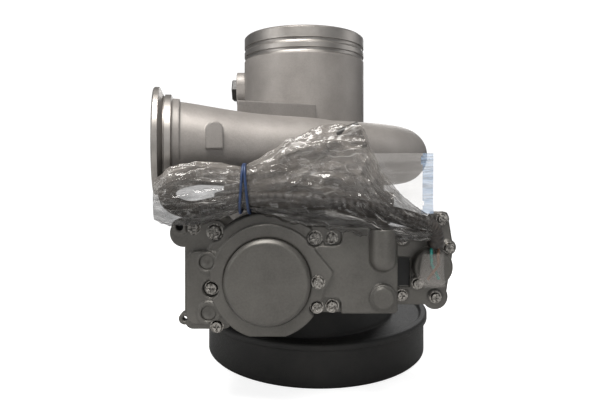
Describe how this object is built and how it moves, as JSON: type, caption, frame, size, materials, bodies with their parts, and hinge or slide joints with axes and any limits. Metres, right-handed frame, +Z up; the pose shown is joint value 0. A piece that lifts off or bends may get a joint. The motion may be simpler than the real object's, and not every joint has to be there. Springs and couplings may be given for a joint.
{
  "type": "variable geometry turbocharger with electric vane actuator",
  "caption": "Turbocharger with vertical shaft, scroll compressor housing, iron turbine housing, electric vane actuator and bagged cable harness.",
  "frame": {"origin": "on the shaft axis, at the turbine outlet face that the unit stands on", "axes": "+Z runs up the shaft to the compressor inlet, -Y faces the actuator cover, +X is on the right seen from the actuator side"},
  "size_m": [0.2067, 0.258, 0.2569],
  "materials": {
    "cast_aluminium": "sand cast, matte",
    "die_cast": "die cast, satin",
    "machined_aluminium": "machined",
    "cast_iron": "sand cast, matte",
    "zinc": "zinc plated, bright",
    "steel": "machined",
    "brass": "machined",
    "copper": "wound",
    "rubber": "matte",
    "black_plastic": "matte",
    "board": "solder mask",
    "clear_film": "thin clear film",
    "blue_plastic": "smooth",
    "wire": "smooth"
  },
  "bodies": {
    "housing": {"compressor_housing": "cast_aluminium", "inlet_port_plug": "black_plastic", "compressor_back_plate": "cast_aluminium", "back_plate_screws": "steel", "compressor_o_ring": "rubber", "compressor_clamp_plates": "zinc", "compressor_clamp_bolts": "zinc", "thrust_bearing": "brass", "shaft_seal_rings": "steel", "journal_bushes": "brass", "bearing_housing": "cast_iron", "heat_shield": "steel", "turbine_housing": "cast_iron", "shroud_plate": "steel", "vane_shaft_seal": "rubber", "idler_axle": "steel", "motor_case": "zinc", "motor_stator": "copper", "motor_bearings": "steel", "actuator_housing": "die_cast", "actuator_gasket": "rubber", "actuator_cover": "die_cast", "motor_cap": "die_cast", "core_plugs": "die_cast", "cover_screws_large": "zinc", "cover_screws_small": "zinc", "actuator_mounting_bolts": "zinc", "circuit_board": "board", "side_bracket": "die_cast", "side_bracket_screws": "zinc", "bracket_foot_screws": "zinc", "terminal_body": "die_cast", "terminal_boot": "clear_film", "terminal_wires": "wire", "harness_conduit": "black_plastic", "harness_connector": "black_plastic", "harness_bag": "clear_film", "bag_flap": "clear_film", "bag_tie": "blue_plastic", "turbine_v_band": "steel", "v_band_bolt": "zinc", "v_band_nut": "zinc"},
    "turbo_rotor": {"shaft_and_turbine_wheel": "steel", "compressor_wheel": "machined_aluminium", "compressor_nut": "steel", "thrust_collar_and_sleeve": "steel"},
    "vane_lever": {"vane_shaft": "steel", "yoke": "steel", "output_sector_gear": "steel", "position_magnet": "steel"},
    "idler": {"idler_gear": "steel"},
    "motor_armature": {"motor_rotor": "steel"},
    "nozzle": {"nozzle_ring": "steel", "nozzle_push_rods": "steel"}
  },
  "joints": [
    {"name": "turbo_rotor_spin", "type": "hinge", "parent": "housing", "child": "turbo_rotor", "pos_m": [0, 0, 0.09], "axis": [0, 0, 1], "continuous": true},
    {"name": "vane_lever_turn", "type": "hinge", "parent": "housing", "child": "vane_lever", "pos_m": [0.028, -0.05, 0.08], "axis": [0, -1, 0], "range_deg": [0, 16]},
    {"name": "idler_spin", "type": "hinge", "parent": "housing", "child": "idler", "pos_m": [-0.00063, -0.1, 0.0846], "axis": [0, -1, 0], "range_deg": [-61.83, 0]},
    {"name": "motor_spin", "type": "hinge", "parent": "housing", "child": "motor_armature", "pos_m": [-0.0226, -0.12, 0.0834], "axis": [0, -1, 0], "range_deg": [0, 220.28]},
    {"name": "nozzle_slide", "type": "slide", "parent": "housing", "child": "nozzle", "axis": [0, 0, 1], "range_m": [-0.00781, 0]}
  ],
  "couplings": [
    {"joint": "idler_spin", "follows": "vane_lever_turn", "ratio": -3.8333},
    {"joint": "motor_spin", "follows": "vane_lever_turn", "ratio": 13.736},
    {"joint": "nozzle_slide", "follows": "vane_lever_turn", "m_per_rad": -0.027909}
  ]
}
